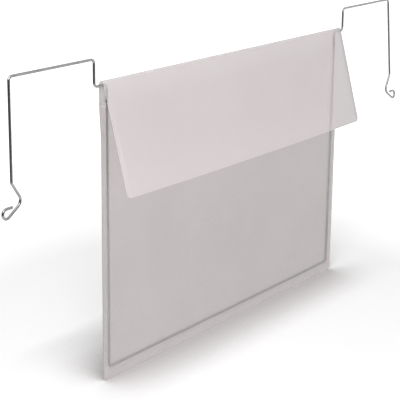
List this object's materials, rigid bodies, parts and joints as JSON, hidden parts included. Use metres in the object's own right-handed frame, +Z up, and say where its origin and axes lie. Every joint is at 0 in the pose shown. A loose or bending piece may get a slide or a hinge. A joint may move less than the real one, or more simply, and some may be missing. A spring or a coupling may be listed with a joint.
{
  "type": "hanging document pocket",
  "caption": "Translucent film document pocket with a hinged rain flap, carried by a bent wire frame with sprung hooks that hang over a rim.",
  "frame": {"origin": "midway between the two hanging arms, in the plane of the wire and level with the underside of the arms", "axes": "+X along the pocket's width to the right as seen from the front, +Y from the front to the back, +Z up"},
  "size_m": [0.5108, 0.0266, 0.2453],
  "materials": {
    "back_film": "translucent frosted film",
    "front_film": "clear satin film",
    "flap_film": "translucent frosted film",
    "wire": "bright drawn wire"
  },
  "bodies": {
    "pocket": {"back_sheet": "back_film", "front_sheet": "front_film", "wire_frame": "wire"},
    "flap": {"rain_flap": "flap_film"},
    "left_leg": {"left_hook": "wire"},
    "right_leg": {"right_hook": "wire"}
  },
  "joints": [
    {"name": "flap_hinge", "type": "hinge", "parent": "pocket", "child": "flap", "pos_m": [0, 0.0017, -0.0175], "axis": [-1, 0, 0], "range_deg": [-7.5, 170], "stiffness_Nm_per_rad": 0.02, "springref_deg": 5.21},
    {"name": "left_hook_spring", "type": "hinge", "parent": "pocket", "child": "left_leg", "pos_m": [-0.2428, 0, 0.001], "axis": [0, 1, 0], "range_deg": [-5, 12], "stiffness_Nm_per_rad": 1.4},
    {"name": "right_hook_spring", "type": "hinge", "parent": "pocket", "child": "right_leg", "pos_m": [0.2428, 0, 0.001], "axis": [0, -0.9969, 0.0785], "range_deg": [-5, 12], "stiffness_Nm_per_rad": 1.4}
  ]
}
